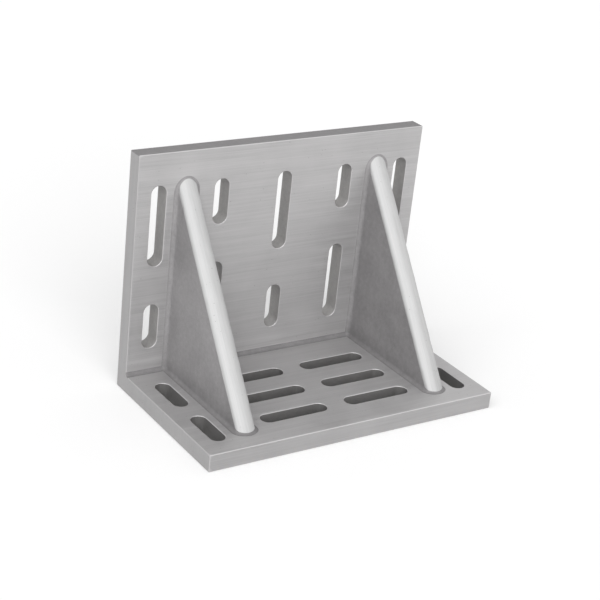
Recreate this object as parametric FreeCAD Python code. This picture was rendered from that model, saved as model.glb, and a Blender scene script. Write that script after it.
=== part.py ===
"""Slotted angle plate: a base and an upright wall at a right angle, stiffened by two triangular ribs.

All of it is one iron casting. X runs along the plate, Y from the front edge of the base to the back of
the wall, and Z up. The origin is the middle of the base's underside. Lengths are in millimetres.
"""

import FreeCAD, Part
import math
import os

# Overall size
length = 406.4
depth = 229.0
height = 304.8
wall_thickness = 22.0
base_thickness = 22.0

# Slots for clamping bolts, measured end to end
slot_width = 20.0
wall_long_slot = 102.0
wall_short_slot = 58.0
base_long_slot = 92.0
base_side_slot = 62.0

# Places of the wall's slots
wall_slot_drop = 40.0          # top edge of the wall to the upper slots
wall_slot_rise = 33.0          # top of the base to the lower slots
wall_column_gap = 25.7         # side of a rib to the nearest upright slots between the ribs
outer_column_inset = 29.0      # end of the plate to the outermost slots, in the wall and in the base

# Places of the base's slots
base_middle_gap = 14.0         # middle of the plate to the near end of each slot between the ribs
base_rib_gap = 18.7            # far end of that slot to the rib; both gaps grow alike with the length
base_row_setback = 50.0        # front edge to the first row
base_row_pitch = 50.0
base_row_count = 3
side_slot_setback = 56.0       # front edge to the middle of the first slot outside the ribs
side_slot_pitch = 88.0
side_slot_count = 2

# Ribs
rib_thickness = 25.0
rib_inset = 66.0               # end of the plate to the middle of the rib
rib_tip_drop = 33.0            # top edge of the wall to the rib's tip
rib_toe_setback = 24.0         # front edge of the base to the rib's toe
rib_crown = 7.5                # how far the middle of the sloping edge stands out from its two sides
rib_edge_radius = 5.0          # tighter rounding along both sides of the crown

# Edges
root_fillet = 5.0              # cast fillets where ribs, wall and base meet
edge_break = 1.0               # chamfer along the machined outer edges
slot_break = 0.8               # chamfer round the mouths of the slots

# Places that follow from the sizes above
end_x = length / 2
front_y = -depth / 2
back_y = depth / 2
wall_y = back_y - wall_thickness
rib_x = end_x - rib_inset
rib_side_x = rib_x - rib_thickness / 2
outer_column_x = end_x - outer_column_inset
wall_column_x = rib_side_x - wall_column_gap - slot_width / 2
row_room = rib_side_x - base_long_slot
base_column_x = base_long_slot / 2 + row_room * base_middle_gap / (base_middle_gap + base_rib_gap)

X_AXIS = FreeCAD.Vector(1, 0, 0)
Y_AXIS = FreeCAD.Vector(0, 1, 0)
Z_AXIS = FreeCAD.Vector(0, 0, 1)
TOUCH = 1e-4                   # how near two places count as the same when edges are picked


def face_inside(outline):
    """A flat face inside a closed outline of lines and arcs."""
    return Part.Face(Part.Wire([piece.toShape() for piece in outline]))


def obround(centre, along, across, end_to_end, width):
    """A flat face with two parallel sides and two half-round ends."""
    run = along * ((end_to_end - width) / 2)
    side = across * (width / 2)
    cap = along * (width / 2)
    near = centre - run
    far = centre + run
    return face_inside([
        Part.LineSegment(near + side, far + side),
        Part.Arc(far + side, far + cap, far - side),
        Part.LineSegment(far - side, near - side),
        Part.Arc(near - side, near - cap, near + side),
    ])


def wall_slots():
    """Cutters for the upright slots: a long and a short one in each column, swapped in every second one."""
    top = height - wall_slot_drop
    bottom = base_thickness + wall_slot_rise
    columns = [-outer_column_x, -wall_column_x, 0.0, wall_column_x, outer_column_x]
    cutters = []
    for number, x in enumerate(columns):
        upper, lower = wall_long_slot, wall_short_slot
        if number % 2:
            upper, lower = lower, upper
        for z, end_to_end in ((top - upper / 2, upper), (bottom + lower / 2, lower)):
            mouth = obround(FreeCAD.Vector(x, wall_y, z), Z_AXIS, X_AXIS, end_to_end, slot_width)
            cutters.append(mouth.extrude(Y_AXIS * wall_thickness))
    return cutters


def base_slots():
    """Cutters for the base: rows of slots along X between the ribs, and slots along Y outside them."""
    cutters = []
    for row in range(base_row_count):
        y = front_y + base_row_setback + row * base_row_pitch
        for x in (-base_column_x, base_column_x):
            mouth = obround(FreeCAD.Vector(x, y, 0), X_AXIS, Y_AXIS, base_long_slot, slot_width)
            cutters.append(mouth.extrude(Z_AXIS * base_thickness))
    for place in range(side_slot_count):
        y = front_y + side_slot_setback + place * side_slot_pitch
        for x in (-outer_column_x, outer_column_x):
            mouth = obround(FreeCAD.Vector(x, y, 0), Y_AXIS, X_AXIS, base_side_slot, slot_width)
            cutters.append(mouth.extrude(Z_AXIS * base_thickness))
    return cutters


def plates():
    """Wall and base as one L-shaped bar, with chamfered edges and the slots cut through."""
    corners = [
        (front_y, 0), (back_y, 0), (back_y, height),
        (wall_y, height), (wall_y, base_thickness), (front_y, base_thickness), (front_y, 0),
    ]
    outline = Part.makePolygon([FreeCAD.Vector(-end_x, y, z) for y, z in corners])
    bar = Part.Face(outline).extrude(X_AXIS * length)
    bar = bar.makeChamfer(edge_break, [edge for edge in bar.Edges if not is_root(edge)])
    slotted = bar.cut(wall_slots() + base_slots())
    return slotted.makeChamfer(slot_break, slot_mouths(slotted))


def is_root(edge):
    """Whether an edge runs along the inside corner between wall and base."""
    middle = edge.BoundBox.Center
    return abs(middle.y - wall_y) < TOUCH and abs(middle.z - base_thickness) < TOUCH


def slot_mouths(slotted):
    """Every edge round a hole in a flat face, which is where a slot opens."""
    edges = []
    for face in slotted.Faces:
        for wire in face.Wires:
            if not wire.isSame(face.OuterWire):
                edges.extend(wire.Edges)
    return edges


def rib(x):
    """A triangular rib at x, whose sloping edge is crowned from side to side.

    The crown is three arcs that run into each other: a wide one over the middle and a tighter one down to
    each side. A bar with this section is laid along the slope from tip to toe, past both, and the part of
    it between the wall, the base and the slope is the rib. It reaches a little into the plates.
    """
    tip = FreeCAD.Vector(x, wall_y, height - rib_tip_drop)
    toe = FreeCAD.Vector(x, front_y + rib_toe_setback, base_thickness)
    slope = (toe - tip).Length
    down = (toe - tip).normalize()
    outward = down.cross(X_AXIS)
    half = rib_thickness / 2
    tight = min(rib_edge_radius, 0.8 * rib_crown, 0.8 * half)
    wide = ((half - tight) ** 2 + rib_crown ** 2 - tight ** 2) / (2 * (rib_crown - tight))
    turn = math.atan2(wide - rib_crown, half - tight)

    def at(across, out):
        """A point of the section, which lies one slope length above the tip."""
        return tip - down * slope + X_AXIS * across + outward * out

    def on_tight_arc(side, angle):
        """A point on the tight arc of one side, turned up from that side by an angle."""
        across = half - tight + tight * math.cos(angle)
        return at(side * across, tight * math.sin(angle) - rib_crown)

    section = face_inside([
        Part.LineSegment(at(-half, -slope), on_tight_arc(-1, 0)),
        Part.Arc(on_tight_arc(-1, 0), on_tight_arc(-1, turn / 2), on_tight_arc(-1, turn)),
        Part.Arc(on_tight_arc(-1, turn), at(0, 0), on_tight_arc(1, turn)),
        Part.Arc(on_tight_arc(1, turn), on_tight_arc(1, turn / 2), on_tight_arc(1, 0)),
        Part.LineSegment(on_tight_arc(1, 0), at(half, -slope)),
        Part.LineSegment(at(half, -slope), at(-half, -slope)),
    ])
    bar = section.extrude(down * (3 * slope))
    low = FreeCAD.Vector(x - half, front_y, base_thickness / 2)
    high = FreeCAD.Vector(x + half, wall_y + wall_thickness / 2, height)
    room = Part.makeBox(high.x - low.x, high.y - low.y, high.z - low.z, low)
    return bar.common(room)


def joint_edges(casting):
    """The edges of every inside corner: wall to base, and each rib to the wall and the base."""
    edges = []
    for edge in casting.Edges:
        box = edge.BoundBox
        rib_low = rib_side_x - TOUCH
        rib_high = rib_x + rib_thickness / 2 + TOUCH
        beside_rib = all(rib_low < abs(x) < rib_high for x in (box.XMin, box.XMax))
        on_wall = box.YLength < TOUCH and abs(box.YMin - wall_y) < TOUCH
        on_base = box.ZLength < TOUCH and abs(box.ZMin - base_thickness) < TOUCH
        if is_root(edge) or (beside_rib and (on_wall or on_base)):
            edges.append(edge)
    return edges


def angle_plate():
    """The whole casting: plates and ribs in one solid, with cast fillets in the inside corners."""
    casting = plates().fuse([rib(-rib_x), rib(rib_x)]).removeSplitter()
    return casting.makeFillet(root_fillet, joint_edges(casting)).Solids[0]


os.makedirs("parts", exist_ok=True)
part = angle_plate()
part.exportStep("parts/angle_plate.step")
box = part.BoundBox
print("valid", part.isValid(), "volume", round(part.Volume), "mm3")
print("size", round(box.XLength, 3), round(box.YLength, 3), round(box.ZLength, 3))
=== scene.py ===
"""Looks of a slotted angle plate: one grey iron casting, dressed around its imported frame.

The casting is worked out as smooth patches that share their border points: flat faces, rounded edges,
slot walls, cast fillets and the ribs' sloping edges. Lengths in the code are metres.
"""

import math

import bmesh
import bpy
import numpy as np
from bpy.props import FloatProperty, FloatVectorProperty, PointerProperty
from bpy.types import Operator, Panel, PropertyGroup
from mathutils import Matrix, Vector
from mathutils.geometry import delaunay_2d_cdt


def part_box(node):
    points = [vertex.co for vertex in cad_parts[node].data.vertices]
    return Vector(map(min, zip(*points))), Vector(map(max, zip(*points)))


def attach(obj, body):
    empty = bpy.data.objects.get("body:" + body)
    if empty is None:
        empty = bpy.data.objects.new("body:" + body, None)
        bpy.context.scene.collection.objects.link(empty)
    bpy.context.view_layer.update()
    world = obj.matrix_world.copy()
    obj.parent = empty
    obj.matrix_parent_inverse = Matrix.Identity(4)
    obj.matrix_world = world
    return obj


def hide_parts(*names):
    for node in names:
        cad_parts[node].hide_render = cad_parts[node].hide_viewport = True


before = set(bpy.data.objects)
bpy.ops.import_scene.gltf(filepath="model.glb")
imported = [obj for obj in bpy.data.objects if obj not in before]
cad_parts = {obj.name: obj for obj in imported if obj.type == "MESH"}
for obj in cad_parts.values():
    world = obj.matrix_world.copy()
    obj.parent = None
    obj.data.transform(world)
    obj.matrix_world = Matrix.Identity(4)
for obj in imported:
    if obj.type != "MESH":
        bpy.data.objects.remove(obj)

bl_info = {
    "name": "Slotted angle plate",
    "version": (1, 0, 0),
    "blender": (4, 5, 0),
    "location": "View3D > Sidebar > Angle plate",
    "description": "Builds a slotted angle plate of cast iron, its finishes and a plain stage",
    "category": "Object",
}

CAD_NODE = "angle_plate"
CAD_BODY = "root"
CAD_LOW, CAD_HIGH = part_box(CAD_NODE)

# Patches of the surface by finish, in the order of the casting's material slots
MACHINED, FRONT, END, CAST, TOP, DRESSED, SLOT_WALL = range(7)
FINISHES = ("machined iron", "machined front with painted shade", "machined ends with painted shade", "cast rib skin with painted shade", "cast top skin with painted shade",
            "dressed edge", "cast slot skin with painted shade")

# Stretches of the L-shaped section by number: rounded outer edges, narrow faces and the inside corner
ROUNDED, TOP_FACE, INSIDE_CORNER, FRONT_FACE = (1, 3, 5, 9, 11), 4, 7, 10

# Rows of slots in the base, between the ribs and outside them
MIDDLE_ROWS = 3
SIDE_ROWS = 2

# How finely the surface is divided
FLAT_STEP = 0.005
ROW_STEP = FLAT_STEP * math.sqrt(0.75)
RIB_STEP = FLAT_STEP * 0.6
BORDER_GAP = FLAT_STEP * 0.55
HALF_CROWN_PIECES = 7
HALF_ROUND_PIECES = 20
SLOT_DEPTH_PIECES = 5
ARC_PIECES = 4
ARC_SHARE = np.linspace(0, 1, ARC_PIECES + 1)
QUARTER_TURN = np.linspace(0, math.pi / 2, ARC_PIECES + 1)
FILLET_PIECES = 6
FILLET_SHARE = np.linspace(0, 1, FILLET_PIECES + 1)

# How near two numbers count as the same, and the smallest triangle that is kept
STEP_SLACK = 1e-6
TOUCH = 1e-9
MERGE_DISTANCE = 2e-6
LEAST_AREA = 1e-9

# Triangles are found in millimetres, with this much slack, and long tables are worked out in batches
MILLIMETRES = 1000.0
TRIANGLE_SLACK = 1e-4
BATCHES = 32

# The rounding beside a rib's crown takes at most this share of the crown's rise and of half its width
ROUNDING_LIMIT = 0.8

# Wavelengths of the cast skin's unevenness, and the seed of its directions
SWELL_LENGTHS = (0.060, 0.041, 0.029, 0.021, 0.014)
SWELL_SEED = 12

# How much brighter a worn edge is than its face, how dark a pore is, and how dark the painted shade below a
# level makes cast skin
WORN_GAIN = 1.45
PORE_GAIN = 0.35
PAINTED_SHADE_GAIN = 0.22

# Colour sockets of a Mix node, whose names its number sockets have as well
MIX_FIRST, MIX_SECOND, MIX_RESULT = 6, 7, 2

# The floor: half its width, how far it lies under the part, how near a ray may start and still pass
# through it, and how much light of its own it gives off where it is seen
FLOOR_REACH = 12.0
FLOOR_GAP = 0.0003
FLOOR_CLEAR = 10 * FLOOR_GAP
FLOOR_GLOW = 0.12

# Light and camera
WHITE = (1.0, 1.0, 1.0, 1.0)
KEY_TOWARDS = (-0.35, -1.0, 0.55)
FILL_TOWARDS = (-0.85, -0.35, 1.0)
LIGHT_SPREAD = math.radians(50.0)
SENSOR_WIDTH = 36.0

X, Y, Z = np.eye(3)


def length_property(name, description, default):
    """A length that a user may change, shown in the scene's units."""
    return FloatProperty(name=name, description=description, default=default, min=0.0, unit="LENGTH",
                         subtype="DISTANCE", precision=4)


def colour_property(name, description, default):
    """A colour that a user may change."""
    return FloatVectorProperty(name=name, description=description, default=default, size=3, min=0.0,
                               max=1.0, subtype="COLOR")


class PlateSizes(PropertyGroup):
    """Sizes of the casting."""

    length: length_property("Length", "Size along X", CAD_HIGH.x - CAD_LOW.x)
    depth: length_property("Depth", "Size along Y", CAD_HIGH.y - CAD_LOW.y)
    height: length_property("Height", "Size along Z", CAD_HIGH.z - CAD_LOW.z)
    wall: length_property("Wall thickness", "Thickness of the upright wall", 0.022)
    base: length_property("Base thickness", "Thickness of the base", 0.022)
    slot_width: length_property("Slot width", "Width of every slot", 0.020)
    wall_long: length_property("Long wall slots", "End-to-end length", 0.102)
    wall_short: length_property("Short wall slots", "End-to-end length", 0.058)
    base_long: length_property("Base slots", "End-to-end length of the slots between the ribs", 0.092)
    base_side: length_property("Side slots", "End-to-end length of the slots outside the ribs", 0.062)
    slot_drop: length_property("Upper slots' drop", "Top edge of the wall to the upper slots", 0.040)
    slot_rise: length_property("Lower slots' rise", "Top of the base to the lower slots", 0.033)
    column_pitch: length_property("Column pitch", "Middle column of the wall to the next one", 0.089)
    outer_inset: length_property("Outer slots' inset", "End of the plate to the outermost slots", 0.029)
    base_column: length_property("Base column", "Middle of the plate to a column of base slots", 0.060)
    row_setback: length_property("Row setback", "Front edge to the first row of base slots", 0.050)
    row_pitch: length_property("Row pitch", "One row of base slots to the next", 0.050)
    side_setback: length_property("Side setback", "Front edge to the first side slot's middle", 0.056)
    side_pitch: length_property("Side pitch", "One side slot's middle to the next", 0.088)
    rib: length_property("Rib thickness", "Thickness of each rib", 0.025)
    rib_inset: length_property("Rib inset", "End of the plate to the middle of the rib", 0.066)
    tip_drop: length_property("Rib tip's drop", "Top edge of the wall to the rib's tip", 0.033)
    toe_setback: length_property("Rib toe's setback", "Front edge of the base to the rib's toe", 0.024)
    crown: length_property("Rib crown", "Rise of the sloping edge from its sides to its middle", 0.0075)
    rib_round: length_property("Rib rounding", "Radius along both sides of the crown", 0.005)
    fillet: length_property("Cast fillet", "Radius in the inside corners", 0.005)
    edge_round: length_property("Edge rounding", "Radius of the broken outer edges", 0.001)
    slot_round: length_property("Slot rounding", "Radius of the slots' mouths", 0.0008)
    cast_swell: length_property("Cast unevenness", "How far cast skin wanders from true", 0.00012)


class FinishColours(PropertyGroup):
    """Colours of the casting's finishes and of the stage."""

    machined: colour_property("Machined faces", "Milled and ground iron", (0.415, 0.408, 0.410))
    # Painted shade: the front and the ends are machined iron made darker, for the extra light these faces
    # catch
    narrow: colour_property("Narrow faces", "Milling on the front and the ends, darker as painted shade", (0.345, 0.339, 0.341))
    cast: colour_property("Rib sides", "Cast skin on the ribs", (0.245, 0.238, 0.241))
    dressed: colour_property("Rib edges", "Dressed sloping edges of the ribs", (0.46, 0.46, 0.46))
    slot: colour_property("Slot walls", "Cast skin inside the slots", (0.305, 0.297, 0.292))
    floor: colour_property("Floor", "Pale floor", (0.84, 0.84, 0.84))


class StageLevels(PropertyGroup):
    """Light and camera."""

    sky: FloatProperty(name="Sky", description="Strength of the even light from all round",
                       default=0.62, min=0.0)
    key: FloatProperty(name="Key light", description="Strength of the soft light from the front",
                       default=1.80, min=0.0)
    fill: FloatProperty(name="Fill light", description="Strength of the soft light from the left",
                        default=0.80, min=0.0)
    azimuth: FloatProperty(name="Azimuth", description="Camera's direction round the part",
                           default=math.radians(35.29), subtype="ANGLE")
    elevation: FloatProperty(name="Elevation", description="How far the camera looks down",
                             default=math.radians(23.91), subtype="ANGLE")
    roll: FloatProperty(name="Roll", description="Camera's turn about its own line of sight",
                        default=math.radians(6.34), subtype="ANGLE")
    eye: FloatVectorProperty(name="Eye", description="Place of the camera",
                             default=(-1.0174, -1.4041, 0.8982), size=3, subtype="TRANSLATION")
    lens: FloatProperty(name="Lens", description="Focal length on a 36 mm sensor, in millimetres",
                        default=94.0, min=1.0)


# Points and directions


def steps(start, end, step=FLAT_STEP):
    """Evenly spaced numbers from start to end, at most one step apart."""
    return np.linspace(start, end, max(1, math.ceil(abs(end - start) / step - STEP_SLACK)) + 1)


def pairs(first, second):
    """Points in a plane from two rows of numbers, or from a row and a number that all of them share."""
    return np.stack(np.broadcast_arrays(first, second), axis=-1).astype(float)


def unit(angles):
    """Unit vectors in a plane, at angles from its first axis."""
    return pairs(np.cos(angles), np.sin(angles))


def turn(start, end, share):
    """Unit vectors on the shorter arc from start to end: the two weighted by the sines of its two parts."""
    start, end = np.broadcast_arrays(start, end)
    angle = np.arccos(np.clip((start * end).sum(-1), -1.0, 1.0))[..., None]
    share = np.asarray(share)[..., None]
    return (np.sin((1 - share) * angle) * start + np.sin(share * angle) * end) / np.sin(angle)


def joined(stretches):
    """One closed loop of points from stretches that begin where the last one ended."""
    return np.concatenate([stretch[:-1] for stretch in stretches])


class Shell:
    """Patches of the surface, kept as points and faces until they become one mesh."""

    def __init__(self):
        self.points = []
        self.faces = []
        self.finish = []
        self.edge = []
        self.count = 0

    def add(self, points, faces, finish, edge=0.0):
        """Adds points and faces, with their finish and how far they belong to an outer edge."""
        self.points.append(points.reshape(-1, 3))
        self.faces.extend((faces + self.count).tolist())
        self.finish.extend([finish] * len(faces))
        self.edge.extend([edge] * len(faces))
        self.count += len(self.points[-1])

    def grid(self, points, finish, edge=0.0):
        """Adds a grid of points, rows by columns, with a four-sided face in each cell."""
        rows, columns = points.shape[:2]
        index = np.arange(rows * columns).reshape(rows, columns)
        corners = [index[:-1, :-1], index[1:, :-1], index[1:, 1:], index[:-1, 1:]]
        self.add(points, np.stack([corner.ravel() for corner in corners], axis=1), finish, edge)

    def fill(self, loops, axis, place, finish):
        """Fills a flat region inside the first loop and outside the others, at one place on an axis.

        A staggered grid of points covers the region, all points are joined into triangles as evenly as
        they allow, and a triangle is kept where its middle lies inside an odd number of loops. Slivers
        along the border are left out.
        """
        border = np.concatenate(loops)
        index = np.arange(len(border))
        loop_ends = np.cumsum([len(loop) for loop in loops])
        following = np.concatenate([np.roll(part, -1) for part in np.split(index, loop_ends[:-1])])
        ahead = border[following]
        low, high = border.min(0), border.max(0)
        across = np.arange(low[0], high[0], FLAT_STEP)
        up = np.arange(low[1], high[1], ROW_STEP)
        grid = np.stack(np.meshgrid(across, up), axis=-1)
        grid[1::2, :, 0] += FLAT_STEP / 2
        grid = grid.reshape(-1, 2)
        grid = grid[in_batches(inside, grid, border, ahead)]
        grid = grid[in_batches(nearest, grid, border) > BORDER_GAP]
        flat = [Vector(point) for point in (np.concatenate([border, grid]) * MILLIMETRES).tolist()]
        edges = np.stack([index, following], axis=1).tolist()
        found, _, triangles, *_ = delaunay_2d_cdt(flat, edges, [], 0, TRIANGLE_SLACK)
        found = np.array([tuple(point) for point in found]) / MILLIMETRES
        triangles = np.array(triangles)
        corners = found[triangles]
        side, other = corners[:, 1] - corners[:, 0], corners[:, 2] - corners[:, 0]
        area = np.abs(side[:, 0] * other[:, 1] - side[:, 1] * other[:, 0]) / 2
        triangles, middles = triangles[area > LEAST_AREA], corners[area > LEAST_AREA].mean(1)
        keep = in_batches(inside, middles, border, ahead)
        self.add(np.insert(found, axis, place, axis=1), triangles[keep], finish)


def in_batches(function, points, *rest):
    """A function's results for all points, worked out for a batch of them at a time."""
    return np.concatenate([function(part, *rest) for part in np.array_split(points, BATCHES)])


def inside(points, heads, tails):
    """Whether each point lies inside: a line from it towards +X crosses the border an odd number of times."""
    px, py = points[:, :1], points[:, 1:]
    (hx, hy), (tx, ty) = heads.T, tails.T
    spans = (hy > py) != (ty > py)
    rise = np.where(ty == hy, 1.0, ty - hy)
    crossing = hx + (py - hy) * (tx - hx) / rise
    return (spans & (px < crossing)).sum(1) % 2 == 1


def nearest(points, border):
    """Distance from each point to the nearest border point."""
    return np.sqrt(((points[:, None, :] - border[None, :, :]) ** 2).sum(-1)).min(1)


# Sizes that follow from the chosen ones


class Layout:
    """Places in the casting that follow from its sizes."""

    def __init__(self, sizes):
        self.sizes = sizes
        self.end = sizes.length / 2
        self.front = -sizes.depth / 2
        self.back = sizes.depth / 2
        self.wall = self.back - sizes.wall
        self.top = sizes.height
        self.deck = sizes.base
        self.outer_column = self.end - sizes.outer_inset
        self.rib_x = self.end - sizes.rib_inset
        self.rib_reach = sizes.rib / 2 + sizes.fillet
        run = self.end - sizes.edge_round
        self.full_run = steps(-run, run)
        near, far = self.rib_x - self.rib_reach, self.rib_x + self.rib_reach
        self.bays = [steps(-run, -far), steps(-near, near), steps(far, run)]

    def slope(self):
        """The way down a rib's sloping edge, in (Y, Z)."""
        reach = self.wall - self.front - self.sizes.toe_setback
        rise = self.top - self.sizes.tip_drop - self.deck
        return -reach, -rise

    def wall_slots(self):
        """Middle and length of each upright slot: a long and a short one in every column, in turn."""
        sizes = self.sizes
        top = self.top - sizes.slot_drop
        bottom = self.deck + sizes.slot_rise
        pitch = sizes.column_pitch
        columns = [-self.outer_column, -pitch, 0.0, pitch, self.outer_column]
        places = []
        for number, x in enumerate(columns):
            upper, lower = sizes.wall_long, sizes.wall_short
            if number % 2:
                upper, lower = lower, upper
            places.append((x, top - upper / 2, upper))
            places.append((x, bottom + lower / 2, lower))
        return places

    def base_slots(self):
        """Middle and length of each slot between the ribs, which run along X."""
        sizes = self.sizes
        rows = [self.front + sizes.row_setback + row * sizes.row_pitch for row in range(MIDDLE_ROWS)]
        return [(x, y, sizes.base_long) for y in rows for x in (-sizes.base_column, sizes.base_column)]

    def side_slots(self):
        """Middle and length of each slot outside the ribs, which run along Y."""
        sizes = self.sizes
        rows = [self.front + sizes.side_setback + row * sizes.side_pitch for row in range(SIDE_ROWS)]
        return [(x, y, sizes.base_side) for y in rows for x in (-self.outer_column, self.outer_column)]


def section_stretches(layout):
    """The L-shaped section as stretches of points and outward normals in (Y, Z), in order round it.

    Straight runs alternate with arcs: a centre plus a radius times a unit vector that turns from one
    face's normal to the next. The inside corner's arc turns the other way, so its normals point to
    its centre.
    """
    b, r = layout.sizes.edge_round, layout.sizes.fillet
    down, back, up, front = map(np.array, ((0.0, -1.0), (1.0, 0.0), (0.0, 1.0), (-1.0, 0.0)))

    def run(ys, zs, normal):
        points = pairs(ys, zs)
        return points, np.broadcast_to(normal, points.shape)

    def corner(y, z, start, end):
        normals = turn(start, end, ARC_SHARE)
        return np.array([y, z]) + b * normals, normals

    low_y, high_y = layout.front + b, layout.back - b
    root_y, root_z = layout.wall - r, layout.deck + r
    touch = turn(back, down, FILLET_SHARE)
    return [
        run(steps(low_y, high_y), 0.0, down),
        corner(high_y, b, down, back),
        run(layout.back, steps(b, layout.top - b), back),
        corner(high_y, layout.top - b, back, up),
        run(steps(high_y, layout.wall + b), layout.top, up),
        corner(layout.wall + b, layout.top - b, up, front),
        run(layout.wall, steps(layout.top - b, root_z), front),
        (np.array([root_y, root_z]) + r * touch, -touch),
        run(steps(root_y, low_y), layout.deck, up),
        corner(low_y, layout.deck - b, up, front),
        run(layout.front, steps(layout.deck - b, b), front),
        corner(low_y, b, front, down),
    ]


def add_edges_and_ends(shell, layout):
    """Rounded outer edges, the narrow top and front faces, and the two ends.

    An edge or a narrow face is its stretch of the section carried along X. At an end the whole section
    shrinks along its normals by b(1 - cos t) while x grows by b sin t, which rounds the end's rim.
    """
    stretches = section_stretches(layout)
    run = layout.full_run
    for number in sorted((*ROUNDED, TOP_FACE, FRONT_FACE)):
        points = stretches[number][0]
        lifted = np.empty((len(run), len(points), 3))
        lifted[..., 0] = run[:, None]
        lifted[..., 1:] = points[None]
        finish = {TOP_FACE: TOP, FRONT_FACE: FRONT}.get(number, MACHINED)
        shell.grid(lifted, finish, float(number in ROUNDED))
    b = layout.sizes.edge_round
    for side in (-1, 1):
        for number, (points, normals) in enumerate(stretches):
            rim = np.empty((len(QUARTER_TURN), len(points), 3))
            rim[..., 0] = side * (layout.end - b + b * np.sin(QUARTER_TURN))[:, None]
            rim[..., 1:] = points - (b * (1 - np.cos(QUARTER_TURN)))[:, None, None] * normals
            shell.grid(rim, {TOP_FACE: TOP, INSIDE_CORNER: CAST}.get(number, END), 1.0)
        inner = [points - b * normals for points, normals in stretches]
        loop = joined([part for number, part in enumerate(inner) if number not in ROUNDED])
        shell.fill([loop], 0, side * layout.end, END)


def slot_outline(end_to_end, half_width):
    """Points and outward normals round a slot that runs along its first axis.

    Two half circles of unit normals, each moved out to its end's centre, with even steps between them.
    """
    half_run = end_to_end / 2 - half_width
    angles = np.linspace(-math.pi / 2, math.pi / 2, HALF_ROUND_PIECES + 1)
    cap = unit(angles)
    top = pairs(steps(half_run, -half_run)[1:-1], half_width)
    up = np.broadcast_to([0.0, 1.0], top.shape)
    half = np.concatenate([cap * half_width + [half_run, 0.0], top])
    normals = np.concatenate([cap, up])
    return np.concatenate([half, -half]), np.concatenate([normals, -normals])


def add_slot(shell, layout, centre, along, across, through, end_to_end, thickness):
    """Walls and rounded mouths of one slot, and its two mouth loops as offsets from the centre.

    The outline is carried through the plate. Near each face it moves out by c(1 - sin t) while its
    depth falls to c(1 - cos t), which rounds the mouth with radius c.
    """
    c = layout.sizes.slot_round
    outline, normals = slot_outline(end_to_end, layout.sizes.slot_width / 2)
    lip_out, lip_deep = c * (1 - np.sin(QUARTER_TURN)), c * (1 - np.cos(QUARTER_TURN))
    middle = np.linspace(c, thickness - c, SLOT_DEPTH_PIECES + 1)[1:-1]
    out = np.concatenate([lip_out, np.zeros_like(middle), lip_out[::-1]])
    deep = np.concatenate([lip_deep, middle, thickness - lip_deep[::-1]])
    flat = outline[None] + out[:, None, None] * normals[None]
    points = centre + flat[..., :1] * along + flat[..., 1:] * across + deep[:, None, None] * through
    points = np.concatenate([points, points[:, :1]], axis=1)
    shell.grid(points[:ARC_PIECES + 1], MACHINED, 1.0)
    shell.grid(points[ARC_PIECES:-ARC_PIECES], SLOT_WALL)
    shell.grid(points[-ARC_PIECES - 1:], MACHINED, 1.0)
    return flat[0]


def add_slots(shell, layout):
    """Every slot's walls; returns the mouth loops in the wall as (X, Z) and in the base as (X, Y)."""
    in_wall, in_base = [], []
    for x, z, end_to_end in layout.wall_slots():
        centre = np.array([x, layout.wall, z])
        loop = add_slot(shell, layout, centre, Z, X, Y, end_to_end, layout.sizes.wall)
        in_wall.append(loop[:, ::-1] + [x, z])
    for x, y, end_to_end in layout.base_slots():
        loop = add_slot(shell, layout, np.array([x, y, 0.0]), X, Y, Z, end_to_end, layout.deck)
        in_base.append(loop + [x, y])
    for x, y, end_to_end in layout.side_slots():
        loop = add_slot(shell, layout, np.array([x, y, 0.0]), Y, X, Z, end_to_end, layout.deck)
        in_base.append(loop[:, ::-1] + [x, y])
    return in_wall, in_base


def rib_section(layout, deepest):
    """The rib's section across its sloping edge: (across, out) points and normals, left to right.

    Out is zero on the middle of the crown and negative inside the rib. The crown is three arcs, each a
    centre plus a radius times a unit normal: a tight one up from each side and a wide one between them.
    They meet where the line through their centres crosses both, which sets the wide one's radius.
    """
    half = layout.sizes.rib / 2
    rise = layout.sizes.crown
    tight = min(layout.sizes.rib_round, ROUNDING_LIMIT * rise, ROUNDING_LIMIT * half)
    wide = ((half - tight) ** 2 + rise ** 2 - tight ** 2) / (2 * (rise - tight))
    meet = math.atan2(wide - rise, half - tight)
    tight_normals = unit(np.linspace(math.pi, math.pi - meet, FILLET_PIECES + 1)[:-1])
    wide_normals = unit(np.linspace(math.pi - meet, math.pi / 2, HALF_CROWN_PIECES + 1))
    side = pairs(-half, steps(deepest, -rise, RIB_STEP)[:-1])
    side_normals = np.broadcast_to([-1.0, 0.0], side.shape)
    tight_arc = [tight - half, -rise] + tight * tight_normals
    wide_arc = [0.0, -wide] + wide * wide_normals
    left = np.concatenate([side, tight_arc, wide_arc])
    left_normals = np.concatenate([side_normals, tight_normals, wide_normals])
    mirror = np.array([-1.0, 1.0])
    points = np.concatenate([left, left[-2::-1] * mirror])
    return points, np.concatenate([left_normals, left_normals[-2::-1] * mirror])


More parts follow.
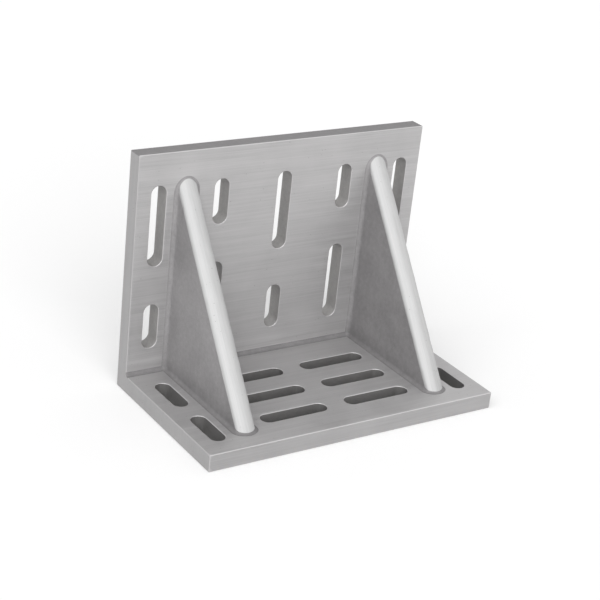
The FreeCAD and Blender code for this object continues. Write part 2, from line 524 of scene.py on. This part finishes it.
def add_rib(shell, layout, x):
    """One rib: its sides, its rounded sloping edge and the cast fillets round it.

    A ball as large as the fillet rolls along the joint, touching the rib and the plate. For each point of
    the rib's section, its centre is where the section's line down the slope, moved out by the radius,
    comes within a radius of the plate, and the fillet is the arc between the two places it touches.
    Returns the fillet's edge on the wall as (X, Z) and on the base as (X, Y), left to right.
    """
    sizes = layout.sizes
    r = sizes.fillet
    tip = np.array([x, layout.wall, layout.top - sizes.tip_drop])
    toe = np.array([x, layout.front + sizes.toe_setback, layout.deck])
    down = (toe - tip) / np.linalg.norm(toe - tip)
    outward = np.cross(down, X)
    inmost = np.array([x, layout.wall - r, layout.deck + r])
    section, flat_normals = rib_section(layout, outward @ (inmost - tip))
    lines = tip + section[:, :1] * X + section[:, 1:] * outward
    normals = flat_normals[:, :1] * X + flat_normals[:, 1:] * outward
    balls = lines + r * normals
    wall_balls = balls + ((layout.wall - r - balls[:, 1]) / down[1])[:, None] * down
    base_balls = balls + ((layout.deck + r - balls[:, 2]) / down[2])[:, None] * down
    share = FILLET_SHARE[:, None]
    wall_fillet = wall_balls + r * turn(-normals[None], Y[None, None], share)
    base_fillet = base_balls + r * turn(-normals[None], -Z[None, None], share)
    shell.grid(wall_fillet, CAST)
    shell.grid(base_fillet, CAST)
    crown = np.flatnonzero(section[:, 1] >= -sizes.crown - TOUCH)
    tips, toes = wall_fillet[0], base_fillet[0]
    slope_steps = steps(0.0, np.linalg.norm(toes - tips, axis=1).max())
    slope_share = (slope_steps / slope_steps[-1])[:, None, None]
    shell.grid(tips[crown] + slope_share * (toes[crown] - tips[crown]), DRESSED)
    for side, to_crown in ((-1, slice(crown[0] + 1)), (1, slice(None, crown[-1] - 1, -1))):
        up_wall, along_base = tips[to_crown], toes[to_crown]
        slope_line = up_wall[-1] + slope_share[:, 0] * (along_base[-1] - up_wall[-1])
        loop = joined([up_wall, slope_line, along_base[::-1]])
        shell.fill([loop[:, 1:]], 0, x + side * sizes.rib / 2, CAST)
        add_ball_corner(shell, layout, x + side * layout.rib_reach, -side)
    return wall_fillet[-1][:, [0, 2]], base_fillet[-1][:, :2]


def add_ball_corner(shell, layout, x, towards_rib):
    """The eighth of a ball where rib, wall and base meet: arcs from the rib's side to the root's arc."""
    r = layout.sizes.fillet
    between = turn(Y, -Z, FILLET_SHARE)
    directions = turn((towards_rib * X)[None, None], between[None], FILLET_SHARE[:, None])
    shell.grid(np.array([x, layout.wall - r, layout.deck + r]) + r * directions, CAST)


def add_root_fillets(shell, layout):
    """The fillet between wall and base in each bay: a quarter circle carried along X."""
    r = layout.sizes.fillet
    arc = r * turn(Y, -Z, FILLET_SHARE)
    middle = np.array([0.0, layout.wall - r, layout.deck + r])
    for bay in layout.bays:
        centres = middle + bay[:, None] * X
        shell.grid(centres[:, None] + arc[None], CAST)


def add_large_faces(shell, layout, wall_mouths, base_mouths, ribs):
    """The four large flat faces, with the slots' mouths and the ribs' feet left open."""
    b, r = layout.sizes.edge_round, layout.sizes.fillet
    run = layout.full_run
    left, right = run[0], run[-1]

    def closed(bottom, low, high):
        side = steps(low, high)
        return joined([*bottom, pairs(right, side), pairs(run[::-1], high), pairs(left, side[::-1])])

    def plain(low, high):
        return closed([pairs(run, low)], low, high)

    def between_ribs(inner, outer, number):
        bays = [pairs(bay, inner) for bay in layout.bays]
        feet = [rib[number] for rib in ribs]
        return closed([bays[0], feet[0], bays[1], feet[1], bays[2]], inner, outer)

    back, under = plain(b, layout.top - b), plain(layout.front + b, layout.back - b)
    wall = between_ribs(layout.deck + r, layout.top - b, 0)
    deck = between_ribs(layout.wall - r, layout.front + b, 1)
    shell.fill([back] + wall_mouths, 1, layout.back, MACHINED)
    shell.fill([under] + base_mouths, 2, 0.0, MACHINED)
    shell.fill([wall] + wall_mouths, 1, layout.wall, MACHINED)
    shell.fill([deck] + base_mouths, 2, layout.deck, MACHINED)


def merged_mesh(shell, name):
    """One closed mesh from the patches: shared border points are merged and faces made to point outwards."""
    mesh = bpy.data.meshes.new(name)
    mesh.from_pydata(np.concatenate(shell.points), [], shell.faces)
    mesh.polygons.foreach_set("material_index", np.array(shell.finish, np.int32))
    edge = mesh.attributes.new("edge_face", "FLOAT", "FACE")
    edge.data.foreach_set("value", np.array(shell.edge, np.float32))
    work = bmesh.new()
    work.from_mesh(mesh)
    bmesh.ops.remove_doubles(work, verts=work.verts, dist=MERGE_DISTANCE)
    bmesh.ops.dissolve_degenerate(work, edges=work.edges, dist=MERGE_DISTANCE)
    bmesh.ops.recalc_face_normals(work, faces=work.faces)
    open_edges = sum(1 for edge in work.edges if len(edge.link_faces) != 2)
    work.to_mesh(mesh)
    work.free()
    if open_edges:
        raise RuntimeError(f"{name} isn't closed: {open_edges} edges don't have two faces")
    return mesh


def read(items, name, columns=1, kind=float):
    """One property of a mesh's points, corners or faces as an array with a row for each of them."""
    values = np.empty(len(items) * columns, kind)
    items.foreach_get(name, values)
    return values.reshape(-1, columns)


def corner_sums(mesh, values):
    """Adds each face's values to its corners' points; values has one row for each face."""
    sizes = read(mesh.polygons, "loop_total", kind=np.int32)[:, 0]
    points = read(mesh.loops, "vertex_index", kind=np.int32)[:, 0]
    values = np.repeat(values, sizes, axis=0)
    return np.stack([np.bincount(points, column, len(mesh.vertices)) for column in values.T], axis=-1)


def area_normals(mesh):
    """Point normals: the sum of the touching faces' normals, each times its area, made unit length."""
    total = corner_sums(mesh, read(mesh.polygons, "normal", 3) * read(mesh.polygons, "area"))
    return total / np.linalg.norm(total, axis=1, keepdims=True)


def swell(points, amount):
    """Slow waves over cast skin: for each wavelength, a product of sines along three tilted directions."""
    rng = np.random.default_rng(SWELL_SEED)
    waves = np.zeros(len(points))
    for length in SWELL_LENGTHS:
        direction = rng.normal(size=(3, 3))
        direction /= np.linalg.norm(direction, axis=1, keepdims=True)
        phase = rng.uniform(0, 2 * math.pi, 3)
        waves += np.prod(np.sin(points @ direction.T * (2 * math.pi / length) + phase), axis=1)
    return amount * waves


def finish_surface(mesh, layout):
    """Lets cast skin wander a little, stores where the outer edges are, and sets smooth normals."""
    cast_face = np.isin(read(mesh.polygons, "material_index", kind=np.int32), (CAST, DRESSED))
    edge_face = read(mesh.attributes["edge_face"].data, "value")
    edges, faces, cast = corner_sums(mesh, np.hstack([edge_face, np.ones_like(edge_face), cast_face])).T
    near_edge = edges / faces
    points = read(mesh.vertices, "co", 3)
    within = points[:, 2] < layout.top - layout.sizes.edge_round
    within &= np.abs(points[:, 0]) < layout.full_run[-1]
    loose = (near_edge == 0) & (cast == faces) & within
    moved = points + (loose * swell(points, layout.sizes.cast_swell))[:, None] * area_normals(mesh)
    mesh.vertices.foreach_set("co", moved.ravel())
    mesh.update()
    mesh.attributes.remove(mesh.attributes["edge_face"])
    attribute = mesh.attributes.new("outer_edge", "FLOAT", "POINT")
    attribute.data.foreach_set("value", near_edge.astype(np.float32))
    mesh.polygons.foreach_set("use_smooth", np.ones(len(mesh.polygons), bool))
    mesh.normals_split_custom_set_from_vertices(area_normals(mesh))


# Finishes


def new_group(name, values, results):
    """A shader node group: a vector and named numbers go in, and named numbers come out.

    Returns its tree, the sockets of what goes in and the node that takes what comes out.
    """
    group = bpy.data.node_groups.new(name, "ShaderNodeTree")
    group.interface.new_socket(name="Vector", in_out="INPUT", socket_type="NodeSocketVector")
    for label, value in values.items():
        socket = group.interface.new_socket(name=label, in_out="INPUT", socket_type="NodeSocketFloat")
        socket.default_value = value
    for label in results:
        group.interface.new_socket(name=label, in_out="OUTPUT", socket_type="NodeSocketFloat")
    return group, group.nodes.new("NodeGroupInput").outputs, group.nodes.new("NodeGroupOutput")


def set_inputs(tree, node, values):
    """Links or sets a node's input sockets, which are given by name or number."""
    for label, value in values.items():
        if isinstance(value, bpy.types.NodeSocket):
            tree.links.new(value, node.inputs[label])
        else:
            node.inputs[label].default_value = value


def add_node(tree, kind, inputs=None, **settings):
    """Adds a node with its settings and its inputs."""
    node = tree.nodes.new(kind)
    for label, value in settings.items():
        setattr(node, label, value)
    set_inputs(tree, node, inputs or {})
    return node


def maths(tree, operation, first, second, third=0.0, clamp=False):
    """The result of one Math node."""
    values = {0: first, 1: second, 2: third}
    return add_node(tree, "ShaderNodeMath", values, operation=operation, use_clamp=clamp).outputs[0]


def mixed(tree, *parts):
    """The sum of several values, each times its weight."""
    total = 0.0
    for value, weight in parts:
        total = maths(tree, "MULTIPLY_ADD", value, weight, total)
    return total


def noise(tree, vector, scale, detail=3.0, roughness=0.55):
    """The factor of a Noise Texture, which lies about 0.5."""
    values = {"Vector": vector, "Scale": scale, "Detail": detail, "Roughness": roughness}
    return add_node(tree, "ShaderNodeTexNoise", values).outputs[0]


def spread(tree, value, low, high, first=0.0, last=1.0):
    """A value spread so that low becomes first and high becomes last, and held there beyond them."""
    values = {"Value": value, "From Min": low, "From Max": high, "To Min": first, "To Max": last}
    return add_node(tree, "ShaderNodeMapRange", values).outputs[0]


def sand_grain_group():
    """Cast skin: sand grains about a millimetre wide on slower lumps, with small pits between them."""
    group, given, results = new_group("sand grain", {"Grain Scale": 900.0, "Pits": 0.5}, ("Height", "Tone"))
    vector, scale = given["Vector"], given["Grain Scale"]
    fine = noise(group, vector, scale, detail=2.0)
    lumps = noise(group, vector, maths(group, "MULTIPLY", scale, 0.22))
    cloud = noise(group, vector, 22.0, detail=4.0)
    cell_scale = maths(group, "MULTIPLY", scale, 0.30)
    cells = add_node(group, "ShaderNodeTexVoronoi", {"Vector": vector, "Scale": cell_scale})
    holes = spread(group, cells.outputs["Distance"], 0.05, 0.22, first=-1.0, last=0.0)
    pits = maths(group, "MULTIPLY", holes, given["Pits"])
    height = mixed(group, (pits, 1.0), (lumps, 0.9), (fine, 0.5))
    mottle = mixed(group, (cloud, 0.4125), (lumps, 0.3375), (fine, 0.25))
    tone = mixed(group, (spread(group, mottle, 0.32, 0.68), 1.0), (pits, 0.2))
    set_inputs(group, results, {"Height": height, "Tone": tone})


def tool_marks_group():
    """Machined skin: lines along the first axis at three widths, drawn out of noise stretched that way."""
    values = {"Line Scale": 700.0, "Stretch": 60.0}
    group, given, results = new_group("tool marks", values, ("Height", "Tone"))
    split = add_node(group, "ShaderNodeSeparateXYZ", {0: given["Vector"]}).outputs
    slow = maths(group, "DIVIDE", split["X"], given["Stretch"])
    laid = {"X": slow, "Y": split["Y"], "Z": split["Z"]}
    line = add_node(group, "ShaderNodeCombineXYZ", laid).outputs[0]
    scale = given["Line Scale"]
    hairs = noise(group, line, maths(group, "MULTIPLY", scale, 2.8), detail=1.0)
    fine = noise(group, line, scale, detail=2.0, roughness=0.6)
    broad = noise(group, line, maths(group, "MULTIPLY", scale, 0.20), detail=2.0)
    cloud = noise(group, given["Vector"], 16.0, detail=5.0, roughness=0.6)
    height = mixed(group, (fine, 0.8), (hairs, 0.4))
    tone = mixed(group, (fine, 0.46), (broad, 0.24), (cloud, 0.30))
    set_inputs(group, results, {"Height": height, "Tone": spread(group, tone, 0.34, 0.66)})


def pores_group():
    """The small dark pores of cut cast iron: a dot in some cells of a cell pattern, each its own size."""
    values = {"Cell Scale": 260.0, "Share": 0.35, "Size": 0.12}
    group, given, results = new_group("pores", values, ("Mask",))
    place = {"Vector": given["Vector"], "Scale": given["Cell Scale"]}
    cells = add_node(group, "ShaderNodeTexVoronoi", place).outputs
    chance = add_node(group, "ShaderNodeSeparateColor", {0: cells["Color"]}).outputs
    taken = maths(group, "LESS_THAN", chance[0], given["Share"])
    radius = maths(group, "MULTIPLY_ADD", chance[1], given["Size"], 0.03)
    core = maths(group, "MULTIPLY", radius, 0.55)
    dot = spread(group, cells["Distance"], core, radius, first=1.0, last=0.0)
    set_inputs(group, results, {"Mask": maths(group, "MULTIPLY", dot, taken)})


def edge_wear_group():
    """Where handling has brightened the outer edges: the edge attribute, broken up by noise."""
    group, given, results = new_group("edge wear", {"Amount": 0.6}, ("Mask",))
    edge = add_node(group, "ShaderNodeAttribute", attribute_name="outer_edge").outputs["Fac"]
    patchy = noise(group, given["Vector"], 160.0, detail=4.0, roughness=0.65)
    ragged = maths(group, "MULTIPLY_ADD", patchy, 0.9, maths(group, "SUBTRACT", edge, 0.55))
    worn = spread(group, ragged, 0.35, 0.75)
    set_inputs(group, results, {"Mask": maths(group, "MULTIPLY", worn, given["Amount"], clamp=True)})


def painted_shade_group():
    """Painted shade low down: full below a level and gone a little above it, with a ragged border."""
    values = {"Level": 0.022, "Fade": 0.004, "Amount": 0.5}
    group, given, results = new_group("painted shade", values, ("Mask",))
    # Painted shade mask: 1 below the level, fading to 0 above it along a ragged border
    split = add_node(group, "ShaderNodeSeparateXYZ", {0: given["Vector"]}).outputs
    above = maths(group, "SUBTRACT", split["Z"], given["Level"])
    height = maths(group, "DIVIDE", above, given["Fade"])
    patchy = noise(group, given["Vector"], 120.0, detail=4.0, roughness=0.6)
    low = maths(group, "SUBTRACT", maths(group, "MULTIPLY_ADD", patchy, 1.2, 0.4), height, clamp=True)
    set_inputs(group, results, {"Mask": maths(group, "MULTIPLY", low, given["Amount"])})


def shade(colour, gain):
    """A colour made darker or lighter, up to white."""
    return tuple(min(1.0, channel * gain) for channel in colour)


def tinted(tree, colour, tone, amount):
    """A colour made darker and lighter, by up to an amount, by a tone that lies about 0.5."""
    gain = maths(tree, "MULTIPLY_ADD", tone, 2 * amount, 1.0 - amount)
    values = {0: (*colour,), "Scale": gain}
    return add_node(tree, "ShaderNodeVectorMath", values, operation="SCALE").outputs[0]


def blend_colours(tree, mask, first, second):
    """The first colour where the mask is 0 and the second where it is 1."""
    values = {"Factor": mask, MIX_FIRST: first, MIX_SECOND: (*second, 1.0)}
    return add_node(tree, "ShaderNodeMix", values, data_type="RGBA").outputs[MIX_RESULT]


def group_results(tree, name, inputs):
    """What a shared group gives in a material with its own values."""
    return add_node(tree, "ShaderNodeGroup", inputs, node_tree=bpy.data.node_groups[name]).outputs


def empty_tree(owner):
    """The cleared node tree of a material or a world."""
    owner.use_nodes = True
    owner.node_tree.nodes.clear()
    return owner.node_tree


def new_material(name):
    """A new material's tree, its shader and the piece's own coordinates."""
    tree = empty_tree(bpy.data.materials.new(name))
    shader = tree.nodes.new("ShaderNodeBsdfPrincipled")
    add_node(tree, "ShaderNodeOutputMaterial", {"Surface": shader.outputs[0]})
    return tree, shader, tree.nodes.new("ShaderNodeTexCoord").outputs["Object"]


def bump(tree, height, distance):
    """The normal that a height gives, where a height of 1 stands out by the distance."""
    return add_node(tree, "ShaderNodeBump", {"Height": height, "Distance": distance}).outputs[0]


def turned(tree, place, direction):
    """The piece's own coordinates with the first axis laid along a direction in the Y-Z plane, or along X."""
    if direction is None:
        return place
    rise = math.atan2(direction[1], direction[0])

    def part(axis):
        node = add_node(tree, "ShaderNodeVectorMath", {0: place, 1: axis}, operation="DOT_PRODUCT")
        return node.outputs["Value"]

    parts = {"X": part((0.0, math.cos(rise), math.sin(rise))), "Y": part((1.0, 0.0, 0.0)),
             "Z": part((0.0, -math.sin(rise), math.cos(rise)))}
    return add_node(tree, "ShaderNodeCombineXYZ", parts).outputs[0]


def cut_iron(name, colour, direction=None, unevenness=0.13, metallic=0.45, roughness=0.30):
    """Milled and ground iron: lines along one direction, cloudy tone, small pores and bright worn edges."""
    tree, shader, place = new_material(name)
    marks = group_results(tree, "tool marks", {"Vector": turned(tree, place, direction), "Stretch": 70.0})
    pores = group_results(tree, "pores", {"Vector": place})["Mask"]
    wear = group_results(tree, "edge wear", {"Vector": place, "Amount": 0.55})["Mask"]
    body = tinted(tree, colour, marks["Tone"], unevenness)
    worn = blend_colours(tree, wear, body, shade(colour, WORN_GAIN))
    set_inputs(tree, shader, {
        "Base Color": blend_colours(tree, pores, worn, shade(colour, PORE_GAIN)),
        "Roughness": maths(tree, "MULTIPLY_ADD", marks["Tone"], 0.30, roughness),
        "Metallic": metallic,
        "Normal": bump(tree, maths(tree, "SUBTRACT", marks["Height"], pores), 0.00005),
    })


def cast_skin(name, colour, depth, level, fade, amount):
    """Iron as it left the sand, with a thin coat: grains, lumps, a few pits and a mottled tone, with painted
    shade that darkens it below a level.
    """
    tree, shader, place = new_material(name)
    sand = group_results(tree, "sand grain", {"Vector": place, "Grain Scale": 850.0, "Pits": 0.35})
    # Painted shade: the skin is made darker below the given level, fading out a little above it
    shade_inputs = {"Vector": place, "Level": level, "Fade": fade, "Amount": amount}
    painted_shade_mask = group_results(tree, "painted shade", shade_inputs)["Mask"]
    body = tinted(tree, colour, sand["Tone"], 0.22)
    set_inputs(tree, shader, {
        "Base Color": blend_colours(tree, painted_shade_mask, body, shade(colour, PAINTED_SHADE_GAIN)),
        "Roughness": maths(tree, "MULTIPLY_ADD", sand["Tone"], 0.2, 0.50),
        "Normal": bump(tree, sand["Height"], depth),
    })


# Operators


class ANGLEPLATE_OT_finishes(Operator):
    """Make the shared node groups and the finishes of the casting"""

    bl_idname = "angle_plate.finishes"
    bl_label = "Make finishes"

    def execute(self, context):
        colours = context.scene.plate_colours
        layout = Layout(context.scene.plate_sizes)
        sand_grain_group()
        tool_marks_group()
        pores_group()
        edge_wear_group()
        painted_shade_group()
        cut_iron("machined iron", colours.machined)
        # The front and the ends take the darker narrow colour as painted shade, since they catch more light
        # than the wall
        cut_iron("machined front with painted shade", colours.narrow)
        cut_iron("machined ends with painted shade", colours.narrow, direction=(0.0, 1.0))
        cut_iron("dressed edge", colours.dressed, direction=layout.slope(), unevenness=0.12, metallic=0.20,
                 roughness=0.42)
        # Painted shade low on the ribs and in the inside corners, fading out a little above the base's top
        cast_skin("cast rib skin with painted shade", colours.cast, depth=0.00030, level=layout.deck, fade=0.022, amount=0.35)
        # Painted shade over the whole top face, which the light from above makes lighter than the rib sides
        cast_skin("cast top skin with painted shade", colours.cast, depth=0.00030, level=layout.top, fade=0.022, amount=0.34)
        # Painted shade inside the base's slots, full up to just above the base's top; the wall's slots are
        # left as they are
        cast_skin("cast slot skin with painted shade", colours.slot, depth=0.00035, level=layout.deck + 0.005, fade=0.008,
                  amount=0.75)
        return {"FINISHED"}


class ANGLEPLATE_OT_casting(Operator):
    """Build the casting: plates, slots, ribs and fillets as one closed surface"""

    bl_idname = "angle_plate.casting"
    bl_label = "Build casting"

    def execute(self, context):
        layout = Layout(context.scene.plate_sizes)
        shell = Shell()
        add_edges_and_ends(shell, layout)
        wall_mouths, base_mouths = add_slots(shell, layout)
        ribs = [add_rib(shell, layout, x) for x in (-layout.rib_x, layout.rib_x)]
        add_root_fillets(shell, layout)
        add_large_faces(shell, layout, wall_mouths, base_mouths, ribs)
        mesh = merged_mesh(shell, "casting")
        for name in FINISHES:
            mesh.materials.append(bpy.data.materials[name])
        finish_surface(mesh, layout)
        casting = bpy.data.objects.new("casting", mesh)
        context.scene.collection.objects.link(casting)
        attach(casting, CAD_BODY)
        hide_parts(CAD_NODE)
        return {"FINISHED"}


def seen_white(tree, paths):
    """1 for the camera, in gloss and through glass, which all show the white background, and 0 otherwise."""
    mirrored = maths(tree, "MAXIMUM", paths["Is Glossy Ray"], paths["Is Transmission Ray"])
    return maths(tree, "MAXIMUM", paths["Is Camera Ray"], mirrored)


def add_floor(context, colour):
    """A wide pale floor that keeps shadows, lifted to white by a little light of its own.

    It is clear from below and to rays that start just above it, so the part's underside shows.
    """
    mesh = bpy.data.meshes.new("floor")
    turns = ((-1, -1), (1, -1), (1, 1), (-1, 1))
    corners = [(x * FLOOR_REACH, y * FLOOR_REACH, -FLOOR_GAP) for x, y in turns]
    mesh.from_pydata(corners, [], [(0, 1, 2, 3)])
    floor = bpy.data.objects.new("floor", mesh)
    context.scene.collection.objects.link(floor)
    material = bpy.data.materials.new("floor")
    tree = empty_tree(material)
    paths = tree.nodes.new("ShaderNodeLightPath").outputs
    pale = add_node(tree, "ShaderNodeBsdfDiffuse", {"Color": (*colour, 1.0)}).outputs[0]
    level = maths(tree, "MULTIPLY", seen_white(tree, paths), FLOOR_GLOW)
    glow = add_node(tree, "ShaderNodeEmission", {"Color": WHITE, "Strength": level}).outputs[0]
    lit = add_node(tree, "ShaderNodeAddShader", {0: pale, 1: glow}).outputs[0]
    below = tree.nodes.new("ShaderNodeNewGeometry").outputs["Backfacing"]
    beside = maths(tree, "LESS_THAN", paths["Ray Length"], FLOOR_CLEAR)
    hidden = maths(tree, "MAXIMUM", below, beside)
    clear = tree.nodes.new("ShaderNodeBsdfTransparent").outputs[0]
    shown = add_node(tree, "ShaderNodeMixShader", {0: hidden, 1: lit, 2: clear}).outputs[0]
    add_node(tree, "ShaderNodeOutputMaterial", {"Surface": shown})
    mesh.materials.append(material)


def add_sky(context, strength):
    """Even light from all round, which shows as plain white to the camera and in gloss."""
    world = bpy.data.worlds.new("sky")
    context.scene.world = world
    tree = empty_tree(world)
    paths = tree.nodes.new("ShaderNodeLightPath").outputs
    level = maths(tree, "MAXIMUM", seen_white(tree, paths), strength)
    sky = add_node(tree, "ShaderNodeBackground", {"Color": WHITE, "Strength": level}).outputs[0]
    add_node(tree, "ShaderNodeOutputWorld", {"Surface": sky})


def add_far_light(context, name, towards, strength):
    """A soft light from far away, so that it falls evenly on the part and the floor."""
    lamp = bpy.data.lights.new(name, "SUN")
    lamp.angle = LIGHT_SPREAD
    lamp.energy = strength
    holder = bpy.data.objects.new(name, lamp)
    holder.rotation_euler = Vector(towards).to_track_quat("Z", "Y").to_euler()
    context.scene.collection.objects.link(holder)


def add_camera(context, levels):
    """The camera: its line of sight from azimuth and elevation, then turned about that line by the roll."""
    azimuth, elevation, roll = levels.azimuth, levels.elevation, levels.roll
    forward = Vector((math.sin(azimuth) * math.cos(elevation), math.cos(azimuth) * math.cos(elevation),
                      -math.sin(elevation)))
    level_right = forward.cross(Vector((0.0, 0.0, 1.0))).normalized()
    level_up = level_right.cross(forward)
    right = level_right * math.cos(roll) + level_up * math.sin(roll)
    up = level_up * math.cos(roll) - level_right * math.sin(roll)
    data = bpy.data.cameras.new("camera")
    data.sensor_width = SENSOR_WIDTH
    data.lens = levels.lens
    camera = bpy.data.objects.new("camera", data)
    turn_matrix = Matrix((right, up, -forward)).transposed().to_4x4()
    camera.matrix_world = Matrix.Translation(Vector(levels.eye)) @ turn_matrix
    context.scene.collection.objects.link(camera)
    context.scene.camera = camera


class ANGLEPLATE_OT_stage(Operator):
    """Set the pale floor, the soft light and the camera"""

    bl_idname = "angle_plate.stage"
    bl_label = "Set stage"

    def execute(self, context):
        levels = context.scene.plate_stage
        add_floor(context, context.scene.plate_colours.floor)
        add_sky(context, levels.sky)
        add_far_light(context, "key light", KEY_TOWARDS, levels.key)
        add_far_light(context, "fill light", FILL_TOWARDS, levels.fill)
        add_camera(context, levels)
        context.scene.view_settings.view_transform = "Standard"
        return {"FINISHED"}


class ANGLEPLATE_PT_panel(Panel):
    """Sizes, colours and steps of the angle plate"""

    bl_label = "Angle plate"
    bl_idname = "ANGLEPLATE_PT_panel"
    bl_space_type = "VIEW_3D"
    bl_region_type = "UI"
    bl_category = "Angle plate"

    def draw(self, context):
        for name, settings in SETTINGS.items():
            column = self.layout.column(align=True)
            for label in settings.__annotations__:
                column.prop(getattr(context.scene, name), label)
        for operator in OPERATORS:
            self.layout.operator(operator.bl_idname)


SETTINGS = {"plate_sizes": PlateSizes, "plate_colours": FinishColours, "plate_stage": StageLevels}
OPERATORS = (ANGLEPLATE_OT_finishes, ANGLEPLATE_OT_casting, ANGLEPLATE_OT_stage)
CLASSES = (*SETTINGS.values(), *OPERATORS, ANGLEPLATE_PT_panel)


def register():
    """Registers every class and hangs the settings on the scene."""
    for cls in CLASSES:
        bpy.utils.register_class(cls)
    for name, settings in SETTINGS.items():
        setattr(bpy.types.Scene, name, PointerProperty(type=settings))


def unregister():
    """Takes the settings off the scene and the classes away."""
    for name in SETTINGS:
        delattr(bpy.types.Scene, name)
    for cls in reversed(CLASSES):
        bpy.utils.unregister_class(cls)


def main():
    """Registers the add-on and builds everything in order."""
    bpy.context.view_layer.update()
    register()
    bpy.ops.angle_plate.finishes()
    bpy.ops.angle_plate.casting()
    bpy.ops.angle_plate.stage()


if __name__ == "__main__":
    main()
